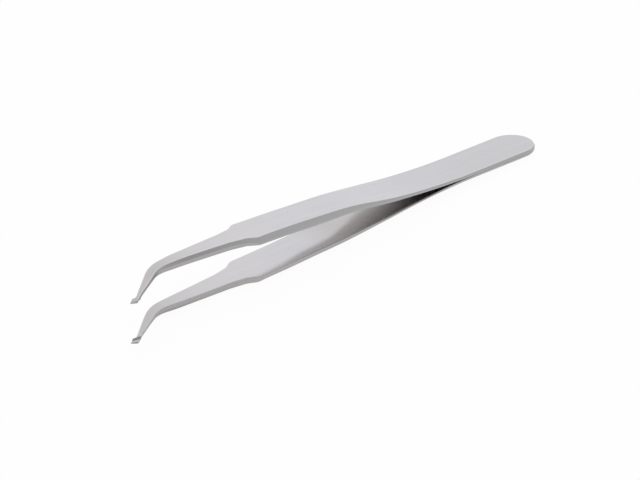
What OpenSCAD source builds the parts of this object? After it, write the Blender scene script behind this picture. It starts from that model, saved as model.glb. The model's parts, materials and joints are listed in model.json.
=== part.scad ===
// Angled tweezers for fine electronics work: two ground spring-steel arms, spot
// welded at the tail, with tips bent sideways and ending in small stepped jaws.
// Stations are distances along an arm's centre line from the tail. The upper
// arm is drawn above the plane between the arms, and the lower one mirrors it.

/* [Overall] */
// Length from the rounded tail to the toes of the tips
length = 120; // [118:0.5:124]
// Gap between the jaw faces while the arms are at rest
jaw_gap = 7.9; // [7.5:0.1:8.1]
// Angle by which the tips bend away from the arms' line
tip_angle = 35.5; // [30:0.5:42]

/* [Width of an arm] */
// Across the inner face, over the weld and the spring
tail_w = 10; // [9:0.1:11]
// Across the inner face, at the finger grip
grip_w = 9.2; // [8.4:0.1:10]
// Across the inner face at the foot of the shoulders, without their flare
nose_w = 5.54; // [5:0.02:6]
// How much further each side stands out there, where the shoulder flares
shoulder_flare = 0.42; // [0.2:0.02:0.5]
// Across the neck behind the toe
neck_w = 0.76; // [0.66:0.02:0.9]

/* [Thickness of an arm] */
// At the weld
tail_t = 0.68; // [0.62:0.01:0.8]
// At the thinnest part of the spring, ground hollow from the inside
spring_t = 0.63; // [0.55:0.01:0.7]
// At the finger grip
grip_t = 1.63; // [1.4:0.01:1.8]
// Along the bent leg of the tip
leg_t = 0.8; // [0.7:0.01:0.95]

/* [Side bevels] */
// How far the outer face is narrower on each side, at the tail
tail_bevel = 0.25; // [0.15:0.01:0.35]
// The same at the finger grip
grip_bevel = 0.7; // [0.4:0.01:0.85]
// The same past the shoulders
nose_bevel = 0.42; // [0.25:0.01:0.5]
// The same along the bent leg
leg_bevel = 0.08; // [0.04:0.01:0.12]

/* [Tip] */
// Length of the bent leg, from the corner of the centre line to the toe
leg_len = 15.3; // [14:0.1:17]
// Radius of the bend along the centre line
bend_r = 8.5; // [7:0.1:10]
// How far the toe reaches out from the leg's centre line
toe_out = 0.9; // [0.7:0.02:1]
// Depth of the step ground into the jaw face
step_depth = 0.32; // [0.25:0.01:0.45]
// Thickness of the toe's end
toe_t = 0.2; // [0.15:0.01:0.3]

/* [Weld] */
// Diameter of each spot weld
weld_d = 2.6; // [2:0.1:3.2]
// Distance between the two spot welds
weld_pitch = 7; // [5:0.5:8]

/* [Hidden] */

steel = [0.78, 0.78, 0.79];
weld_steel = [0.55, 0.55, 0.57];

// Stations where the sides or faces change
weld_end = 20;
grind_start = 33;
hinge_s = 33;
steepest = 50.5;
flat_start = 61;
flat_end = 70;
shoulder_start = 81.8;
shoulder_end = 85;

// Centre line: straight, one arc, then the straight leg
corner = length - leg_len * cos(tip_angle) - toe_out * sin(tip_angle);
bend_tangent = bend_r * tan(tip_angle / 2);
arc_start = corner - bend_tangent;
arc_end = arc_start + bend_r * tip_angle * PI / 180;
toe_s = arc_end + leg_len - bend_tangent;
neck_s = toe_s - 2.1;
step_far = toe_s - 1.42;
step_near = toe_s - 2.66;
jaw_start = step_near - 1.4;

function heading(s) = tip_angle * min(1, max(0, (s - arc_start) / (arc_end - arc_start)));
function along(a) = [-cos(a), -sin(a)];
function nearward(a) = [sin(a), -cos(a)];
function centre(s) = let (a = heading(s))
    [-min(s, arc_start), 0]
    + bend_r * [-sin(a), cos(a) - 1]
    + max(0, s - arc_end) * along(a);

// Smooth step from 0 at station a to 1 at station b
function ramp(a, b, s) = let (u = min(1, max(0, (s - a) / (b - a)))) u * u * (3 - 2 * u);

// Thickness: thin at the spring, thick at the grip, thin again along the leg
function thickness(s) = tail_t
    + (spring_t - tail_t) * ramp(14, 30, s)
    + (grip_t - spring_t) * ramp(grind_start, 70, s)
    - (grip_t - leg_t) * ramp(corner - 5, corner + 7, s);

// The outer face bows away from the plane between the arms. Its slope changes
// evenly between these stations. The flat at the grip lies in one plane with
// the tail's lower edge, so that the tool rests on both.
spring_end = 42;
spring_slope = 0.11;
steepest_slope = 0.155;
steepest_h = thickness(weld_end) + (spring_end - weld_end) * spring_slope / 2
    + (steepest - spring_end) * (spring_slope + steepest_slope) / 2;
flat_slope = (steepest_h + (flat_start - steepest) * steepest_slope / 2 - tail_t)
    / ((flat_start + steepest) / 2);
bow = [[weld_end, 0], [spring_end, spring_slope], [steepest, steepest_slope],
       [flat_start, flat_slope], [flat_end, flat_slope], [76, 0.036], [100, 0.012],
       [corner - 3, -0.05], [corner + 3, -0.078], [corner + 7, 0]];
function stretch(p, q, s) = let (e = min(max(s, p[0]), q[0]) - p[0])
    p[1] * e + (q[1] - p[1]) * e * e / (2 * (q[0] - p[0]));
function rise(s, i = 0) = i > len(bow) - 2 ? 0 : stretch(bow[i], bow[i + 1], s) + rise(s, i + 1);

// Closing turns each arm until the jaw faces meet flat
close_angle = atan(jaw_gap / 2 / (-centre(step_near).x - hinge_s));
function jaw_h(s) = jaw_gap / 2 - tan(close_angle) * (centre(s).x - centre(step_near).x);

toe_floor = jaw_gap / 2 + step_depth;
function outer_h(s) = s <= weld_end ? thickness(s)
    : let (h = thickness(weld_end) + rise(s))
      h + (toe_floor + toe_t - h) * pow(min(1, max(0, (s - step_near) / (toe_s - step_near))), 2);
function inner_h(s) = s <= weld_end ? 0
    : let (h = outer_h(min(s, step_near)) - thickness(s), k = ramp(jaw_start, step_near, s))
      h * (1 - k) + jaw_h(s) * k;

// Half widths of the inner face: a round tail, a step in at the shoulders with a
// short flare at its foot, then one straight taper to the neck
tail_round = 5.4;
function blade_w(s) = let (u = 1 - min(1, s / tail_round))
    tail_w / 2 * sqrt(1 - u * u) - (tail_w - grip_w) / 2 * ramp(44, 56, s);
neck_near = 0.6 * neck_w;
neck_far = neck_w - neck_near;
function nose_half(s) = nose_w / 2
    - (nose_w / 2 - neck_far) * (s - shoulder_end) / (neck_s - shoulder_end);
function flare(s) = shoulder_flare * (1 - ramp(shoulder_end - 1, shoulder_end + 4, s));
function arm_half(s, least) = let (k = ramp(shoulder_start, shoulder_end, s))
    blade_w(s) * (1 - k) + (max(least, nose_half(s)) + flare(s)) * k;

// The toe flares outward, away from the handle. Its near front corner is round, and
// its end is cut on a slant that leaves a narrow edge on the far side
toe_round_l = 1;
toe_slant = 0.45;
toe_edge = 2 * leg_bevel + 0.04;
function far_half(s) = arm_half(s, neck_far)
    + (toe_out - neck_far) * min(1, max(0, (s - neck_s) / (step_far - neck_s)));
function near_half(s) = let (e = min(1, max(0, (s - toe_s + toe_round_l) / toe_round_l)))
    min(arm_half(s, neck_near) - (neck_near + toe_out - toe_edge) * (1 - sqrt(1 - e * e)),
        (toe_s - s) / toe_slant + toe_edge - toe_out);

function bevel(s) = min(tail_bevel, s / 4)
    + (grip_bevel - tail_bevel) * ramp(40, 70, s)
    - (grip_bevel - nose_bevel) * ramp(79, 86, s)
    - (nose_bevel - leg_bevel) * ramp(corner - 12, corner + 5, s);
// Share of the side that stays square to the inner face
function land(s) = 0.42 - 0.28 * ramp(44, 58, s) + 0.36 * ramp(78, 88, s)
    + 0.3 * ramp(jaw_start, step_near, s);

// One section: from the near inner edge, over the outer face, to the far inner edge
function section(s) = let (
    c = centre(s), n = nearward(heading(s)), zi = inner_h(s), zo = outer_h(s),
    zl = zi + land(s) * (zo - zi), wn = near_half(s), wf = far_half(s), b = bevel(s))
    [for (p = [[wn, zi], [wn, zl], [wn - b, zo], [b - wf, zo], [-wf, zl], [-wf, zi]])
        [c.x + p[0] * n.x, c.y + p[0] * n.y, p[1]]];

tail_stations = concat(
    [for (a = [4 : 8.6 : 90]) tail_round * (1 - cos(a))],
    [8, 11, 14, 17, weld_end], [for (s = [22 : 2.2 : hinge_s]) s], [hinge_s]);
arm_stations = concat(
    [for (s = [hinge_s : 1.5 : flat_start]) s], [for (s = [flat_start + 2 : 2 : flat_end]) s],
    [74, 76, 78, 80], [for (i = [0 : 8]) shoulder_start + i * (shoulder_end - shoulder_start) / 8],
    [86, 87, 88, 89], [for (s = [90.5 : 2.5 : arc_start - 1]) s],
    [for (i = [0 : 7]) arc_start + i * (arc_end - arc_start) / 7],
    [for (s = [arc_end + 1.5 : 1.5 : jaw_start - 0.5]) s],
    [for (i = [0 : 3]) jaw_start + i * (step_near - jaw_start) / 3],
    [neck_s - 0.3, neck_s, (neck_s + step_far) / 2, step_far],
    [for (i = [0 : 6]) toe_s - toe_round_l * (1 - i / 6)]);

// Skins a row of sections into one closed solid
module loft(stations) {
    rings = [for (s = stations) section(s)];
    n = len(rings);
    m = 6;
    walls = [for (i = [0 : n - 2], j = [0 : m - 1])
        let (a = i * m + j, b = i * m + (j + 1) % m)
        each [[a, a + m, b + m], [a, b + m, b]]];
    caps = [[for (j = [0 : m - 1]) j], [for (j = [m - 1 : -1 : 0]) (n - 1) * m + j]];
    polyhedron(points = [for (r = rings) each r], faces = concat(walls, caps));
}

// Puts the tool on its rest faces: the plane through the flat at the lower grip
// and the lower edge of the tail becomes the floor, with the origin under the middle
lean = atan(flat_slope);
toe_y = min([for (s = arm_stations) centre(s).y + near_half(s) * nearward(heading(s)).y]);
middle_x = -length * cos(lean) / 2 - (toe_floor + toe_t - tail_t) * sin(lean) / 2;
middle_y = (tail_w / 2 + toe_y) / 2;
module seated() translate([-middle_x, -middle_y, tail_t * cos(lean)]) rotate([0, lean, 0]) children();
module mirrored() mirror([0, 0, 1]) children();

// Each weld nugget fills a shallow pocket in both arms
weld_s = [9, 9 + weld_pitch];
weld_h = 0.5;
module nuggets() for (s = weld_s) translate([-s, 0, -weld_h / 2])
    cylinder(h = weld_h, d = weld_d, $fn = 48);

module tail_leaf() difference() {
    loft(tail_stations);
    nuggets();
}

// Past a slanted line across the jaw the steel is ground back by the step depth,
// with a sloping wall that starts below the jaw face
step_slope = 0.5;
step_reach = 4;
step_dip = 0.2;
module step_cutter() {
    far_point = centre(step_far) - toe_out * nearward(tip_angle);
    near_point = centre(step_near) + neck_near * nearward(tip_angle);
    cut = near_point - far_point;
    translate([far_point.x, far_point.y, 0]) rotate([90, 0, atan2(cut.y, cut.x) + 90])
        translate([0, 0, -1]) linear_extrude(height = norm(cut) + 2)
        polygon([[step_slope * step_dip / step_depth, jaw_gap / 2 - step_dip], [-step_slope, toe_floor],
                 [-step_reach, toe_floor], [-step_reach, jaw_gap / 2 - step_dip]]);
}

module arm_blade() difference() {
    loft(arm_stations);
    step_cutter();
}

module upper_tail() color(steel) seated() tail_leaf();
module lower_tail() color(steel) seated() mirrored() tail_leaf();
module spot_welds() color(weld_steel) seated() nuggets();
module upper_arm() color(steel) seated() arm_blade();
module lower_arm() color(steel) seated() mirrored() arm_blade();

upper_tail();
lower_tail();
spot_welds();
upper_arm();
lower_arm();
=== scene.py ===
# Looks of the angled tweezers: two continuous ground steel arms round the packed
# model, their satin finish, a pale floor, soft light and the camera.
import json
import math

import bmesh
import bpy
from mathutils import Matrix, Vector


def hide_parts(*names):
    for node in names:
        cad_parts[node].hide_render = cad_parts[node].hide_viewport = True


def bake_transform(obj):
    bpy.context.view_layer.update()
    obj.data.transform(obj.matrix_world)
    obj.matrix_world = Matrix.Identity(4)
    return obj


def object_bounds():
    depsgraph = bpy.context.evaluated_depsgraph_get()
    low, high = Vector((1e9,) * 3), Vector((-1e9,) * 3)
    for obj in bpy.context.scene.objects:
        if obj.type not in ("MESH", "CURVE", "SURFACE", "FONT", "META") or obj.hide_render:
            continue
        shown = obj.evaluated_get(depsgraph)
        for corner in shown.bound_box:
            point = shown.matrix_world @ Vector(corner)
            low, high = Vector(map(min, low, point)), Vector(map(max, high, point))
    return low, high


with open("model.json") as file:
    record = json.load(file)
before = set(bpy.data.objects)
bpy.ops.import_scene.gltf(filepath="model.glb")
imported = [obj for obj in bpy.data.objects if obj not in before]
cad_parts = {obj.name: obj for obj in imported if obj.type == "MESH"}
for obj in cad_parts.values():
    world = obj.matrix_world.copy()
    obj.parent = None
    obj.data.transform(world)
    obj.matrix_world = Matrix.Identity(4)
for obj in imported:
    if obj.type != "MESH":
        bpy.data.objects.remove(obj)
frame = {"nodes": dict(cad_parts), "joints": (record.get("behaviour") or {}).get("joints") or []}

cad_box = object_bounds()

MM = 0.001

# Sizes of an arm in millimetres. A station is the distance from the tail along the
# centre line. Heights are above the plane between the arms, and across is positive
# on the near side, to which the tips bend.
LENGTH = 120.0
JAW_GAP = 7.9
TIP_ANGLE = math.radians(35.5)
TAIL_W = 10.0
GRIP_W = 9.2
NOSE_W = 5.54
SHOULDER_FLARE = 0.42
NECK_NEAR = 0.456
NECK_FAR = 0.304
TAIL_T = 0.68
SPRING_T = 0.63
GRIP_T = 1.63
LEG_T = 0.8
LEG_LEN = 15.3
BEND_R = 8.5
TAIL_ROUND = 5.4

# Toe and step of the jaw
TOE_OUT = 0.9
TOE_T = 0.2
TOE_ROUND_L = 1.0
TOE_SLANT = 0.37
TOE_EDGE = 0.2
STEP_DEPTH = 0.32
STEP_SLOPE = 0.5

# Stations where the sides or faces change
WELD_END = 20.0
HINGE = 33.0
SPRING_END = 42.0
STEEPEST = 50.5
FLAT_START = 61.0
FLAT_END = 70.0
SHOULDER_START = 81.8
SHOULDER_END = 85.0
CORNER = LENGTH - LEG_LEN * math.cos(TIP_ANGLE) - TOE_OUT * math.sin(TIP_ANGLE)
BEND_TANGENT = BEND_R * math.tan(TIP_ANGLE / 2)
ARC_START = CORNER - BEND_TANGENT
ARC_END = ARC_START + BEND_R * TIP_ANGLE
TOE = ARC_END + LEG_LEN - BEND_TANGENT
NECK = TOE - 2.1
STEP_FAR = TOE - 1.42
STEP_NEAR = TOE - 2.66
JAW_START = STEP_NEAR - 1.4

# Sizes that change along the arm: at the tail, then (from, to, size reached). Bevels
# and wear are widths, and shares are of the near bevel and of the side's height.
THICKNESS = (
    TAIL_T,
    (14.0, 30.0, SPRING_T),
    (HINGE, FLAT_END, GRIP_T),
    (CORNER - 5, CORNER + 7, LEG_T),
)
NARROWING = (0.0, (44.0, 56.0, (TAIL_W - GRIP_W) / 2))
FLARE = (SHOULDER_FLARE, (SHOULDER_END - 1, SHOULDER_END + 4, 0.0))
FAR_WEAR = (0.0, (CORNER - 7, CORNER - 2, 0.16), (CORNER, CORNER + 6, 0.0))
BEVEL = (0.25, (40.0, 70.0, 0.7), (79.0, 86.0, 0.42), (CORNER - 12, CORNER + 5, 0.08))
FAR_BEVEL_SHARE = (1.0, (84.0, 90.0, 0.6), (CORNER - 9, CORNER - 3, 0.3))
LEAST_FAR_BEVEL = 0.06
LAND_SHARE = (0.42, (44.0, 58.0, 0.14), (78.0, 88.0, 0.5), (JAW_START, STEP_NEAR, 0.8))
LEAST_LAND_SHARE = 0.25


def clamp01(value):
    return min(1.0, max(0.0, value))


def ramp(a, b, s):
    """Smooth step from 0 at station a to 1 at station b."""
    u = clamp01((s - a) / (b - a))
    return u * u * (3 - 2 * u)


def size_at(sizes, s):
    """The size at station s, led smoothly from each size in the list to the next."""
    size, *changes = sizes
    before = size
    for a, b, after in changes:
        size += (after - before) * ramp(a, b, s)
        before = after
    return size


def heading(s):
    """How far the centre line has turned at station s."""
    return TIP_ANGLE * clamp01((s - ARC_START) / (ARC_END - ARC_START))


def centre(s):
    """The centre line in plan, with the tail at the origin and the tips towards -X."""
    a = heading(s)
    leg = max(0.0, s - ARC_END)
    x = -min(s, ARC_START) - BEND_R * math.sin(a) - leg * math.cos(a)
    y = BEND_R * (math.cos(a) - 1) - leg * math.sin(a)
    return Vector((x, y))


def nearward(s):
    """The direction in plan from the centre line to the near side."""
    a = heading(s)
    return Vector((math.sin(a), -math.cos(a)))


# Slopes of the outer face in the spring part, its height where it is steepest, and the
# slope of its flat at the grip, which lies in line with the tail's outer edge
SPRING_SLOPE = 0.11
STEEPEST_SLOPE = 0.155
STEEPEST_H = (
    size_at(THICKNESS, WELD_END)
    + (SPRING_END - WELD_END) * SPRING_SLOPE / 2
    + (STEEPEST - SPRING_END) * (SPRING_SLOPE + STEEPEST_SLOPE) / 2
)
FLAT_SLOPE = (STEEPEST_H + (FLAT_START - STEEPEST) * STEEPEST_SLOPE / 2 - TAIL_T) / (
    (FLAT_START + STEEPEST) / 2
)

# Slope of the outer face at all these stations, changing evenly between them
BOW = [
    (WELD_END, 0.0),
    (SPRING_END, SPRING_SLOPE),
    (STEEPEST, STEEPEST_SLOPE),
    (FLAT_START, FLAT_SLOPE),
    (FLAT_END, FLAT_SLOPE),
    (76.0, 0.036),
    (100.0, 0.012),
    (CORNER - 3, -0.05),
    (CORNER + 3, -0.078),
    (CORNER + 7, 0.0),
]

# By how much an arm turns until the jaws meet, and the height of the floor past the step
CLOSE_ANGLE = math.atan(JAW_GAP / 2 / (-centre(STEP_NEAR).x - HINGE))
TOE_FLOOR = JAW_GAP / 2 + STEP_DEPTH


def rise(s):
    """How far the outer face has bowed away at station s."""
    total = 0.0
    for (a, slope_a), (b, slope_b) in zip(BOW, BOW[1:]):
        e = min(max(s, a), b) - a
        total += slope_a * e + (slope_b - slope_a) * e * e / (2 * (b - a))
    return total


def outer_h(s):
    """Height of the outer face, which runs out to the thin end of the toe."""
    if s <= WELD_END:
        return size_at(THICKNESS, s)
    h = size_at(THICKNESS, WELD_END) + rise(s)
    return h + (TOE_FLOOR + TOE_T - h) * clamp01((s - STEP_NEAR) / (TOE - STEP_NEAR)) ** 2


def jaw_h(s):
    """Height of the jaw face, which meets the other arm's when the jaws close."""
    return JAW_GAP / 2 - math.tan(CLOSE_ANGLE) * (centre(s).x - centre(STEP_NEAR).x)


def inner_h(s):
    """Height of the inner face."""
    if s <= WELD_END:
        return 0.0
    h = outer_h(min(s, STEP_NEAR)) - size_at(THICKNESS, s)
    k = ramp(JAW_START, STEP_NEAR, s)
    return h * (1 - k) + jaw_h(s) * k


def arm_half(s, least):
    """Half the width, which is at least this much beyond the shoulders."""
    u = 1 - min(1.0, s / TAIL_ROUND)
    blade = TAIL_W / 2 * math.sqrt(1 - u * u) - size_at(NARROWING, s)
    nose = NOSE_W / 2 - (NOSE_W / 2 - NECK_FAR) * (s - SHOULDER_END) / (NECK - SHOULDER_END)
    k = ramp(SHOULDER_START, SHOULDER_END, s)
    return blade * (1 - k) + (max(least, nose) + size_at(FLARE, s)) * k


def near_half(s):
    """From the centre line to the near side, with the rounded corner of the toe."""
    e = clamp01((s - TOE + TOE_ROUND_L) / TOE_ROUND_L)
    depth = NECK_NEAR + TOE_OUT - TOE_EDGE
    return arm_half(s, NECK_NEAR) - depth * (1 - math.sqrt(1 - e * e))


def far_half(s):
    """From the centre line to the far side, with the flare of the toe."""
    flare = (TOE_OUT - NECK_FAR) * clamp01((s - NECK) / (STEP_FAR - NECK))
    return arm_half(s, NECK_FAR) + flare - size_at(FAR_WEAR, s)


def bevel(s, sign):
    """How far the outer face is narrower on the near side (1) or the far side (-1)."""
    width = size_at(BEVEL, s)
    if sign > 0:
        return width
    return max(LEAST_FAR_BEVEL, width * size_at(FAR_BEVEL_SHARE, s))


# Fillets on the three edges of a side, and the most that one takes of a straight
INNER_FILLET = 0.07
LAND_FILLET = 0.1
OUTER_FILLET = 0.16
FILLET_LIMIT = 0.45

# How finely the fillets and faces are divided, and how far an outline runs over a face
FILLET_STEPS = 3
FACE_STEPS = 8
FACE_REACH = 2.0

# Wear and painted highlight of the edge between land and bevel, against that of the outer edge
LAND_WEAR_AND_HIGHLIGHT = 0.4

# The step runs across the jaw on a slanted line, the toe's end has its own slant,
# and the rings near them slant too, from this far before the step
STEP_SKEW = (STEP_NEAR - STEP_FAR) / (NECK_NEAR + TOE_OUT)
STEP_C = STEP_NEAR - STEP_SKEW * NECK_NEAR
FLARE_C = NECK + STEP_SKEW * NECK_FAR
END_C = TOE - TOE_SLANT * TOE_OUT
SKEW_REACH = 3.2

# The end of the toe is worn round over this length, by these heights
WORN_L = 0.32
WORN_INNER = 0.08
WORN_OUTER = 0.05

# How much of the cut steel's colour shows on the worn end and on top of the toe, and
# where it comes in: over this share of the worn length, and so far past the step's foot
END_CUT = 0.7
TOE_CUT = 0.5
END_CUT_SHARE = 0.3
TOE_CUT_START = 0.3
TOE_CUT_END = 0.9

# Search for the place where a slanted ring meets a side
SEARCH_REACH = 3.0
SEARCH_STEPS = 40
SIDE_DELTA = 0.01


def fillet(before, corner, after, radius):
    """Points of an arc that rounds a corner of an outline."""
    to_before = (before - corner).normalized()
    to_after = (after - corner).normalized()
    half_angle = math.acos(max(-1.0, min(1.0, to_before.dot(to_after)))) / 2
    shorter = min((before - corner).length, (after - corner).length)
    reach = min(radius / math.tan(half_angle), FILLET_LIMIT * shorter)
    middle = corner + (to_before + to_after).normalized() * reach / math.cos(half_angle)
    first = corner + to_before * reach - middle
    last = corner + to_after * reach - middle
    points = []
    for i in range(FILLET_STEPS + 1):
        points.append(middle + first.lerp(last, i / FILLET_STEPS).normalized() * first.length)
    return points


def side_outline(s, sign, floor, top):
    """One side from the inner face to the outer face.

    Each point is (inset, share of the height, edge, side, land and rim marks); the rim mark is
    where painted shade goes.
    """
    thick = top - floor
    plain_floor = inner_h(s)
    z_land = plain_floor + size_at(LAND_SHARE, s) * (top - plain_floor) - floor
    z_land = max(z_land, LEAST_LAND_SHARE * thick)
    b = bevel(s, sign)
    corners = [
        Vector((FACE_REACH, 0.0)),
        Vector((0.0, 0.0)),
        Vector((0.0, z_land)),
        Vector((b, thick)),
        Vector((b + FACE_REACH, thick)),
    ]
    # Wear and painted highlight of the three edges, fading in on the inner edge past the weld
    wear_and_highlight = (ramp(WELD_END, HINGE, s), LAND_WEAR_AND_HIGHLIGHT, 1.0)
    outline = []
    for i, radius in enumerate((INNER_FILLET, LAND_FILLET, OUTER_FILLET)):
        arc = fillet(corners[i], corners[i + 1], corners[i + 2], radius)
        for j, p in enumerate(arc):
            along = j / FILLET_STEPS
            edge = (1.0 - abs(2 * along - 1)) * wear_and_highlight[i]
            side = (along, 1.0, 1.0 - along)[i]
            land = (along, 1.0 - along, 0.0)[i]
            # The rim mark places painted shade along the inner edge
            painted_rim_shade = (along, 0.0, 0.0)[i]
            outline.append((p.x, p.y / thick, edge, side, land, painted_rim_shade))
    return outline


def edge_point(c, skew, half, sign):
    """Station, across and outward direction where a ring that slants by skew meets a side."""
    low = max(0.0, c - SEARCH_REACH)
    high = min(TOE, c + SEARCH_REACH)
    for _ in range(SEARCH_STEPS):
        s = (low + high) / 2
        if s - c < skew * sign * half(s):
            low = s
        else:
            high = s
    if s < SIDE_DELTA:
        return 0.0, 0.0, Vector((-1.0, 0.0))
    before = s - SIDE_DELTA
    after = min(TOE, s + SIDE_DELTA)
    out = Vector((half(before) - half(after), sign * (after - before)))
    return s, sign * half(s), out.normalized()


def across(a, b, share):
    """Points between two edges over a face, without the ends and with no marks of a side."""
    row = []
    for i in range(1, FACE_STEPS):
        t = i / FACE_STEPS
        s = a[0] + (b[0] - a[0]) * t
        u = a[1] + (b[1] - a[1]) * t
        row.append((s, u, share, 0.0, 0.0, 0.0, 0.0))
    return row


def ring(c, skew, lift=0.0, worn=0.0, inner_cut=0.0, outer_cut=0.0):
    """One closed ring of points, each (station, across, height) and its marks."""

    def low(s):
        return inner_h(s) * (1 - lift) + TOE_FLOOR * lift + WORN_INNER * worn

    def high(s):
        return outer_h(s) - WORN_OUTER * worn

    sides = []
    for sign, half in ((1, near_half), (-1, far_half)):
        outline = side_outline(c, sign, low(c), high(c))
        s, u, out = edge_point(c, skew, half, sign)
        sides.append([(s - d * out.x, u - d * out.y, *rest) for d, *rest in outline])
    near, far = sides
    loop = near + across(near[-1], far[-1], 1.0) + far[::-1] + across(far[0], near[0], 0.0)
    points = []
    for s, u, share, *marks in loop:
        height = low(s) + share * (high(s) - low(s))
        cut = inner_cut * (1 - share) + outer_cut * share
        points.append(((s, u, height), (*marks, 1 - share, cut)))
    return points


def spread(a, b, step):
    """Evenly spaced stations from a up to, but without, b."""
    count = max(1, round((b - a) / step))
    return [a + (b - a) * i / count for i in range(count)]


def arm_rings():
    """The rings up to the step, which starts at STEP_C."""
    rings = []
    tail_steps = 26
    for i in range(tail_steps):
        a = math.pi / 2 * i / tail_steps
        rings.append(ring(TAIL_ROUND * (1 - math.cos(a)), 0.0))
    skew_start = STEP_C - SKEW_REACH
    # From, to and about how far apart
    stretches = [
        (TAIL_ROUND, SHOULDER_START - 1, 0.8),
        (SHOULDER_START - 1, SHOULDER_END + 1, 0.2),
        (SHOULDER_END + 1, SHOULDER_END + 5, 0.4),
        (SHOULDER_END + 5, ARC_START, 0.5),
        (ARC_START, ARC_END, 0.2),
        (ARC_END, skew_start, 0.4),
        (skew_start, FLARE_C, 0.12),
        (FLARE_C, STEP_C, 0.025),
    ]
    for a, b, step in stretches:
        for c in spread(a, b, step):
            rings.append(ring(c, STEP_SKEW * ramp(skew_start, STEP_C, c)))
    return rings


def toe_rings():
    """The rings of the step's wall, of the toe's floor and of its worn end."""
    rings = []
    wall = STEP_SLOPE * math.hypot(1, STEP_SKEW)
    wall_steps = 4
    for i in range(wall_steps + 1):
        share = i / wall_steps
        rings.append(ring(STEP_C + wall * share, STEP_SKEW, lift=share, inner_cut=1.0))
    floor_start = STEP_C + wall
    floor_step = 0.08
    first_gap = 0.03
    worn_start = END_C - WORN_L
    stations = spread(floor_start + first_gap, worn_start, floor_step)
    worn_steps = 6
    for i in range(worn_steps + 1):
        stations.append(END_C - WORN_L * (1 - math.sin(math.pi / 2 * i / worn_steps)))
    for c in stations:
        skew = STEP_SKEW + (-TOE_SLANT - STEP_SKEW) * (c - floor_start) / (END_C - floor_start)
        q = clamp01((c - worn_start) / WORN_L)
        rings.append(
            ring(
                c,
                skew,
                lift=1.0,
                worn=1 - math.sqrt(1 - q * q),
                inner_cut=END_CUT * ramp(0.0, END_CUT_SHARE, q),
                outer_cut=TOE_CUT * ramp(TOE_CUT_START, TOE_CUT_END, c - floor_start),
            )
        )
    return rings


# Faces are shaded as one where they meet at an angle with a cosine above this one, and
# points are merged at this distance
SMOOTH_LIMIT = math.cos(math.radians(40))
MERGE_DISTANCE = 0.001 * MM

# The plane between the arms leans, so that the lower arm lies on its grip and tail
LEAN = math.atan(FLAT_SLOPE)


def seat():
    """From the plane between the arms, in millimetres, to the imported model's place."""
    anchors = [Vector(j["pos_m"]) / MM for j in frame["joints"]]
    middle = (anchors[0] + anchors[1]) / 2
    return (
        Matrix.Translation(middle)
        @ Matrix.Rotation(LEAN, 4, "Y")
        @ Matrix.Translation((HINGE, 0, 0))
    )


SEAT = seat()


def put(x, y, z):
    """A point drawn over the plane between the arms, in the scene, in metres."""
    return SEAT @ Vector((x, y, z)) * MM


def flat_normals(bm):
    """One normal per face corner, which leans to the largest of the faces it joins."""
    normals = []
    for f in bm.faces:
        for v in f.verts:
            total = Vector()
            for other in v.link_faces:
                if other.normal.dot(f.normal) > SMOOTH_LIMIT:
                    total += other.normal * (other.calc_area() / MM**2)
            normals.append(total.normalized())
    return normals


# Marks of every point, which the finish reads: rounded edge, with wear and a painted highlight,
# side, square part of the side, its rim with painted shade, face towards the other arm, and cut
# or worn steel at the toe
MARKS = ("edge", "side", "land", "painted_rim_shade", "inner", "cut")


def arm_mesh(name, mirror):
    """One arm as a closed skin over its rings, with its marks for the finish."""
    bm = bmesh.new()
    flow = bm.verts.layers.float_vector.new("flow")
    marks = [bm.verts.layers.float.new(mark) for mark in MARKS]
    painted_rim_shade = marks[MARKS.index("painted_rim_shade")]
    rows = []
    for points in arm_rings() + toe_rings():
        row = []
        for (s, u, z), values in points:
            p = centre(s) + nearward(s) * u
            v = bm.verts.new(put(p.x, p.y, mirror * z))
            v[flow] = (s, u, z)
            for mark, value in zip(marks, values):
                v[mark] = value
            # Only the lower arm gets the painted shade on its rim
            if mirror > 0:
                v[painted_rim_shade] = 0.0
            row.append(v)
        rows.append(row)
    count = len(rows[0])
    for a, b in zip(rows, rows[1:]):
        for i in range(count):
            j = (i + 1) % count
            bm.faces.new((a[i], a[j], b[j], b[i]))
    bm.faces.new(rows[-1])
    bmesh.ops.remove_doubles(bm, verts=bm.verts, dist=MERGE_DISTANCE)
    bmesh.ops.recalc_face_normals(bm, faces=bm.faces)
    for f in bm.faces:
        f.smooth = True
    normals = flat_normals(bm)
    mesh = bpy.data.meshes.new(name)
    bm.to_mesh(mesh)
    bm.free()
    mesh.normals_split_custom_set(normals)
    return mesh


def make_arm(name, mirror, nodes, material):
    """One arm, in place of its two nodes."""
    obj = bpy.data.objects.new(name, arm_mesh(name, mirror))
    bpy.context.scene.collection.objects.link(obj)
    obj.data.materials.append(material)
    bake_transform(obj)
    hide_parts(*nodes)


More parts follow.
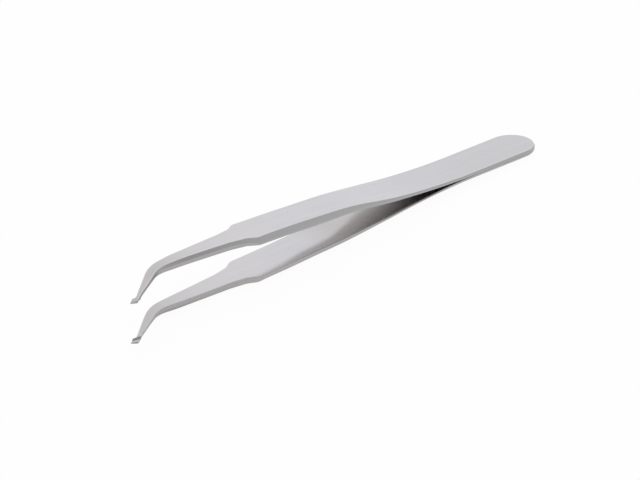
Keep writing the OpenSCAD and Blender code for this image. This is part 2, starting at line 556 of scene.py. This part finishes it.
class Nodes:
    """Short calls for building a material's node tree."""

    def __init__(self, tree):
        self.tree = tree
        tree.nodes.clear()

    def add(self, kind, inputs=None, **settings):
        node = self.tree.nodes.new(kind)
        for key, value in settings.items():
            setattr(node, key, value)
        for key, value in (inputs or {}).items():
            self.feed(node.inputs[key], value)
        return node

    def feed(self, socket, value):
        if isinstance(value, bpy.types.NodeSocket):
            self.tree.links.new(value, socket)
        else:
            socket.default_value = value

    def math(self, operation, a, b):
        node = self.add("ShaderNodeMath", {0: a, 1: b}, operation=operation)
        return node.outputs[0]

    def noise(self, vector, scale, detail=2.0, rough=0.5):
        values = {"Vector": vector, "Scale": scale, "Detail": detail, "Roughness": rough}
        return self.add("ShaderNodeTexNoise", values).outputs["Fac"]

    def stretch(self, vector, scale):
        values = {0: vector, 1: scale}
        return self.add("ShaderNodeVectorMath", values, operation="MULTIPLY").outputs[0]

    def mix(self, factor, a, b):
        """A mix of two colours, whose sockets are numbers 6 and 7, and 2 for the result."""
        node = self.add("ShaderNodeMix", data_type="RGBA")
        self.feed(node.inputs["Factor"], factor)
        self.feed(node.inputs[6], a)
        self.feed(node.inputs[7], b)
        return node.outputs[2]

    def along(self, station, stops):
        """A colour that changes with the station, through the stops."""
        node = self.add("ShaderNodeValToRGB", {"Fac": self.math("DIVIDE", station, TOE)})
        elements = node.color_ramp.elements
        while len(elements) < len(stops):
            elements.new(1.0)
        for element, (place, colour) in zip(elements, stops):
            element.position = place / TOE
            element.color = colour
        return node.outputs["Color"]

    def between(self, value, low, high, to_low=0.0, to_high=1.0):
        values = {0: value, 1: low, 2: high, 3: to_low, 4: to_high}
        return self.add("ShaderNodeMapRange", values).outputs[0]


WHITE = (1, 1, 1, 1)

# Base colours of the faces at stations from tail to toe, set until the tones came near the
# photo's.
# They are the steel's own colour with a painted reflection in their change along the arm, darker
# at the tail and towards the toe.
FACE_COLOURS_AND_REFLECTION = [
    (20, (0.578, 0.568, 0.579, 1)),
    (45, (0.602, 0.593, 0.612, 1)),
    (72, (0.612, 0.601, 0.613, 1)),
    (86, (0.630, 0.608, 0.617, 1)),
    (96, (0.608, 0.590, 0.594, 1)),
    (109, (0.528, 0.504, 0.502, 1)),
    (114, (0.530, 0.502, 0.502, 1)),
]

# Factors that darken the lower arm's inner rims, set to a dark line in the photo.
# The line is painted shade standing in for a dark reflection, and as a colour it stays dark
# under any light.
PAINTED_RIM_SHADE = [
    (27, (1.0, 1.0, 1.0, 1)),
    (33, (0.10, 0.10, 0.10, 1)),
    (46, (0.12, 0.12, 0.12, 1)),
    (50, (0.20, 0.20, 0.20, 1)),
    (57, (0.32, 0.32, 0.32, 1)),
    (63, (0.48, 0.48, 0.48, 1)),
    (69, (0.66, 0.66, 0.66, 1)),
    (78, (1.0, 1.0, 1.0, 1)),
]

# Tints of the ground inside of the spring, and of its hollow, and where they fade. The hollow's
# tint is partly painted shade between the arms, on top of the steel's warm tone.
GROUND_TINT = (1, 0.98, 0.945, 1)
GROUND_FADE = (58, 50)
HOLLOW_TINT_AND_SHADE = (0.89, 0.87, 0.84, 1)
HOLLOW_START = (42, 56)
HOLLOW_FADE = (66, 58)

# Colours of the sides, from the darkest to the brightest scratches, and of the nose's. Their
# scratches are real, and their being darker than the faces is painted shade of the dim
# surroundings they mirror.
SHADED_BEVEL_COLOURS = ((0.44, 0.432, 0.430, 1), (0.54, 0.530, 0.528, 1))
SHADED_LAND_COLOURS = ((0.40, 0.392, 0.390, 1), (0.49, 0.481, 0.480, 1))
SHADED_NOSE_COLOUR = (0.40, 0.39, 0.388, 1)
NOSE_STATIONS = (80, 98)

# Worn edges, which smudges make uneven, brightened beyond wear as a painted highlight, and cut
# steel
WORN_AND_HIGHLIGHT_COLOUR = (0.93, 0.92, 0.92, 1)
WORN_AND_HIGHLIGHT_LEVELS = (0.6, 1.0)
CUT_COLOUR = (0.31, 0.305, 0.305, 1)

# The part of a noise's values that is used, and the share of the fine grain in the tone
NOISE_RANGE = (0.3, 0.7)
SMUDGE_RANGE = (0.35, 0.65)
GRAIN_SHARE = 0.3

# Range of the faces' brightness, roughness, and height of the bumps
SHADES = (0.97, 1.03)
FACE_ROUGH = (0.13, 0.17)
GROUND_ROUGH = 0.14
SIDE_ROUGH = (0.38, 0.46)
BUMP_STRENGTH = 0.15
BUMP_HEIGHT = 0.02 * MM


def steel_material():
    """Satin ground stainless steel with lengthwise grain on the faces."""
    material = bpy.data.materials.new("satin_steel")
    material.use_nodes = True
    n = Nodes(material.node_tree)
    flow = n.add("ShaderNodeAttribute", attribute_name="flow").outputs["Vector"]
    edge, side, land, painted_rim_shade, inner, cut = [
        n.add("ShaderNodeAttribute", attribute_name=mark).outputs["Fac"] for mark in MARKS
    ]
    # The scales are per millimetre along, across and up
    grain = n.noise(n.stretch(flow, (0.12, 5.0, 5.0)), 1.0, 4.0, 0.6)
    streaks = n.noise(n.stretch(flow, (0.03, 1.1, 1.1)), 1.0, 2.0)
    smudge = n.noise(flow, 0.09, 3.0)
    scratches = n.noise(n.stretch(flow, (5.0, 0.2, 0.6)), 1.0, 3.0, 0.6)
    fine = n.math("MULTIPLY", grain, GRAIN_SHARE)
    tone = n.math("ADD", fine, n.math("MULTIPLY", streaks, 1 - GRAIN_SHARE))
    station = n.add("ShaderNodeSeparateXYZ", {0: flow}).outputs["X"]
    shade = n.between(tone, *NOISE_RANGE, *SHADES)
    # Painted reflection: the faces' base colour changes along the arm
    values = {0: n.along(station, FACE_COLOURS_AND_REFLECTION), "Scale": shade}
    face_colour_and_reflection = n.add("ShaderNodeVectorMath", values, operation="SCALE").outputs[0]
    ground = n.math("MULTIPLY", n.between(station, *GROUND_FADE), inner)
    hollow_start = n.between(station, *HOLLOW_START)
    hollow_shade = n.math("MULTIPLY", hollow_start, n.between(station, *HOLLOW_FADE))
    tint = n.mix(ground, WHITE, GROUND_TINT)
    # Painted shade: the inner faces darken in the hollow between the arms
    tint = n.mix(n.math("MULTIPLY", hollow_shade, inner), tint, HOLLOW_TINT_AND_SHADE)
    face_colour_and_reflection = n.stretch(face_colour_and_reflection, tint)
    # Painted shade: the sides and the nose's bevel are darker than the faces, with real
    # scratches
    shaded_bevel_colour = n.mix(scratches, *SHADED_BEVEL_COLOURS)
    shaded_bevel_colour = n.mix(n.between(station, *NOSE_STATIONS), shaded_bevel_colour, SHADED_NOSE_COLOUR)
    colour = n.mix(side, face_colour_and_reflection, shaded_bevel_colour)
    colour = n.mix(land, colour, n.mix(scratches, *SHADED_LAND_COLOURS))
    # Wear and painted highlight: edges brighter than the steel
    worn = n.math("MULTIPLY", edge, n.between(smudge, *SMUDGE_RANGE, *WORN_AND_HIGHLIGHT_LEVELS))
    colour = n.mix(worn, colour, WORN_AND_HIGHLIGHT_COLOUR)
    # Painted shade: darkens the lower arm's inner rim, standing in for a dark reflection
    colour = n.stretch(colour, n.mix(painted_rim_shade, WHITE, n.along(station, PAINTED_RIM_SHADE)))
    colour = n.mix(cut, colour, CUT_COLOUR)
    face_rough = n.between(smudge, *NOISE_RANGE, *FACE_ROUGH)
    face_rough = n.math("ADD", face_rough, n.math("MULTIPLY", ground, GROUND_ROUGH))
    side_rough = n.between(scratches, *NOISE_RANGE, *SIDE_ROUGH)
    rough = n.between(side, 0.0, 1.0, face_rough, side_rough)
    height = n.between(side, 0.0, 1.0, grain, scratches)
    values = {"Height": height, "Strength": BUMP_STRENGTH, "Distance": BUMP_HEIGHT}
    bump = n.add("ShaderNodeBump", values).outputs[0]
    values = {"Base Color": colour, "Metallic": 1.0, "Roughness": rough, "Normal": bump}
    shader = n.add("ShaderNodeBsdfPrincipled", values)
    n.add("ShaderNodeOutputMaterial", {"Surface": shader.outputs[0]})
    return material


# Fused steel: the ripple's scale per metre, colours, roughness and height of the bumps
RIPPLE_SCALE = 900.0
RIPPLE_RANGE = (0.2, 0.8)
WELD_COLOURS = ((0.30, 0.29, 0.29, 1), (0.46, 0.45, 0.45, 1))
WELD_ROUGH = (0.4, 0.6)
WELD_STRENGTH = 0.6
WELD_HEIGHT = 0.05 * MM


def weld_material():
    """Fused steel of the spot welds, hidden between the arms."""
    material = bpy.data.materials.new("weld_steel")
    material.use_nodes = True
    n = Nodes(material.node_tree)
    place = n.add("ShaderNodeTexCoord").outputs["Object"]
    ripple = n.noise(place, RIPPLE_SCALE, 4.0, 0.6)
    colour = n.mix(ripple, *WELD_COLOURS)
    rough = n.between(ripple, *RIPPLE_RANGE, *WELD_ROUGH)
    values = {"Height": ripple, "Strength": WELD_STRENGTH, "Distance": WELD_HEIGHT}
    bump = n.add("ShaderNodeBump", values).outputs[0]
    values = {"Base Color": colour, "Metallic": 1.0, "Roughness": rough, "Normal": bump}
    shader = n.add("ShaderNodeBsdfPrincipled", values)
    n.add("ShaderNodeOutputMaterial", {"Surface": shader.outputs[0]})
    return material


# The floor in metres, and how white the background makes it for the camera and in
# reflections, which leaves a faint shadow
FLOOR_HALF = 4.0
FLOOR_GAP = 0.02 * MM
FLOOR_COLOUR = (0.9, 0.9, 0.9, 1)
FLOOR_WHITE = 0.94
MIRRORED_WHITE = 0.6


def background_ray(n):
    """1 for the rays that see the background: camera, glossy and transmission rays."""
    path = n.add("ShaderNodeLightPath").outputs
    seen = n.math("MAXIMUM", path["Is Camera Ray"], path["Is Glossy Ray"])
    return n.math("MAXIMUM", seen, path["Is Transmission Ray"])


def make_floor():
    """A large pale plane under the tool."""
    bm = bmesh.new()
    bmesh.ops.create_grid(bm, x_segments=2, y_segments=2, size=FLOOR_HALF)
    mesh = bpy.data.meshes.new("floor")
    bm.to_mesh(mesh)
    bm.free()
    floor = bpy.data.objects.new("floor", mesh)
    floor.location.z = cad_box[0].z - FLOOR_GAP
    bpy.context.scene.collection.objects.link(floor)
    material = bpy.data.materials.new("floor_white")
    material.use_nodes = True
    n = Nodes(material.node_tree)
    lit = n.add("ShaderNodeBsdfDiffuse", {"Color": FLOOR_COLOUR})
    white = n.add("ShaderNodeEmission", {"Color": WHITE, "Strength": 1.0})
    path = n.add("ShaderNodeLightPath").outputs
    mirrored = n.math("MULTIPLY", path["Is Glossy Ray"], FLOOR_WHITE - MIRRORED_WHITE)
    share = n.math("SUBTRACT", n.math("MULTIPLY", background_ray(n), FLOOR_WHITE), mirrored)
    mixed = n.add("ShaderNodeMixShader", {0: share, 1: lit.outputs[0], 2: white.outputs[0]})
    n.add("ShaderNodeOutputMaterial", {"Surface": mixed.outputs[0]})
    floor.data.materials.append(material)


# Only reflections show that the room is dimmer on the near side, in a wide soft patch
DIM_DIRECTION = (-0.05, -0.83, 0.55)
DIM_CORE = math.cos(math.radians(45))
DIM_EDGE = math.cos(math.radians(85))
DIM_LEVEL = 0.72
ROOM_COLOUR = (0.975, 0.98, 1.0, 1)
ROOM_LIGHT = 0.85


def make_world():
    """White for the camera, the room for reflections and an even light for the rest."""
    world = bpy.data.worlds.new("studio")
    bpy.context.scene.world = world
    world.use_nodes = True
    n = Nodes(world.node_tree)
    direction = n.add("ShaderNodeTexCoord").outputs["Generated"]
    values = {0: direction, 1: DIM_DIRECTION}
    dot = n.add("ShaderNodeVectorMath", values, operation="DOT_PRODUCT")
    values = {0: dot.outputs["Value"], 1: DIM_EDGE, 2: DIM_CORE, 3: 1.0, 4: DIM_LEVEL}
    dim = n.add("ShaderNodeMapRange", values, interpolation_type="SMOOTHSTEP").outputs[0]
    path = n.add("ShaderNodeLightPath").outputs
    room = n.add("ShaderNodeBackground", {"Color": ROOM_COLOUR, "Strength": dim}).outputs[0]
    seen = n.add("ShaderNodeBackground", {"Color": WHITE, "Strength": 1.0}).outputs[0]
    light = n.add("ShaderNodeBackground", {"Color": WHITE, "Strength": ROOM_LIGHT}).outputs[0]
    unseen = n.add("ShaderNodeMixShader", {0: path["Is Glossy Ray"], 1: light, 2: room})
    plain = n.math("MAXIMUM", path["Is Camera Ray"], path["Is Transmission Ray"])
    mixed = n.add("ShaderNodeMixShader", {0: plain, 1: unseen.outputs[0], 2: seen})
    n.add("ShaderNodeOutputWorld", {"Surface": mixed.outputs[0]})


def make_lamp():
    """One soft box above the tool, in metres and watts."""
    data = bpy.data.lights.new("softbox", "AREA")
    data.size = 0.9
    data.energy = 1.5
    lamp = bpy.data.objects.new("softbox", data)
    lamp.location = (-0.25, 0.35, 1.0)
    lamp.rotation_euler = (-lamp.location).to_track_quat("-Z", "Y").to_euler()
    bpy.context.scene.collection.objects.link(lamp)


# The camera's aim, distance and angles over the plane between the arms, in
# millimetres, and its lens
AIM = Vector((-61.61, -0.32, -3.6))
VIEW_AZIMUTH = math.radians(43.085)
VIEW_ELEVATION = math.radians(25.611)
VIEW_DISTANCE = 891.9
LENS = 242.67


def make_camera():
    """The camera of the photo's view."""
    data = bpy.data.cameras.new("camera")
    data.sensor_width = 36.0
    data.lens = LENS
    data.clip_start = 0.05
    camera = bpy.data.objects.new("camera", data)
    bpy.context.scene.collection.objects.link(camera)
    level = math.cos(VIEW_ELEVATION)
    x = math.sin(VIEW_AZIMUTH)
    y = math.cos(VIEW_AZIMUTH)
    right = Vector((y, -x, 0))
    back = Vector((-x * level, -y * level, math.sin(VIEW_ELEVATION)))
    up = back.cross(right)
    turn = SEAT.to_3x3() @ Matrix((right, up, back)).transposed()
    place = put(*(AIM + back * VIEW_DISTANCE))
    camera.matrix_world = Matrix.Translation(place) @ turn.to_4x4()
    bpy.context.scene.camera = camera


make_camera()
make_world()
make_lamp()
make_floor()
steel = steel_material()
make_arm("upper_arm_steel", 1, ("upper_tail", "upper_arm"), steel)
make_arm("lower_arm_steel", -1, ("lower_tail", "lower_arm"), steel)
welds = frame["nodes"]["spot_welds"].data.materials
welds.clear()
welds.append(weld_material())

bpy.context.scene.view_settings.view_transform = "Standard"
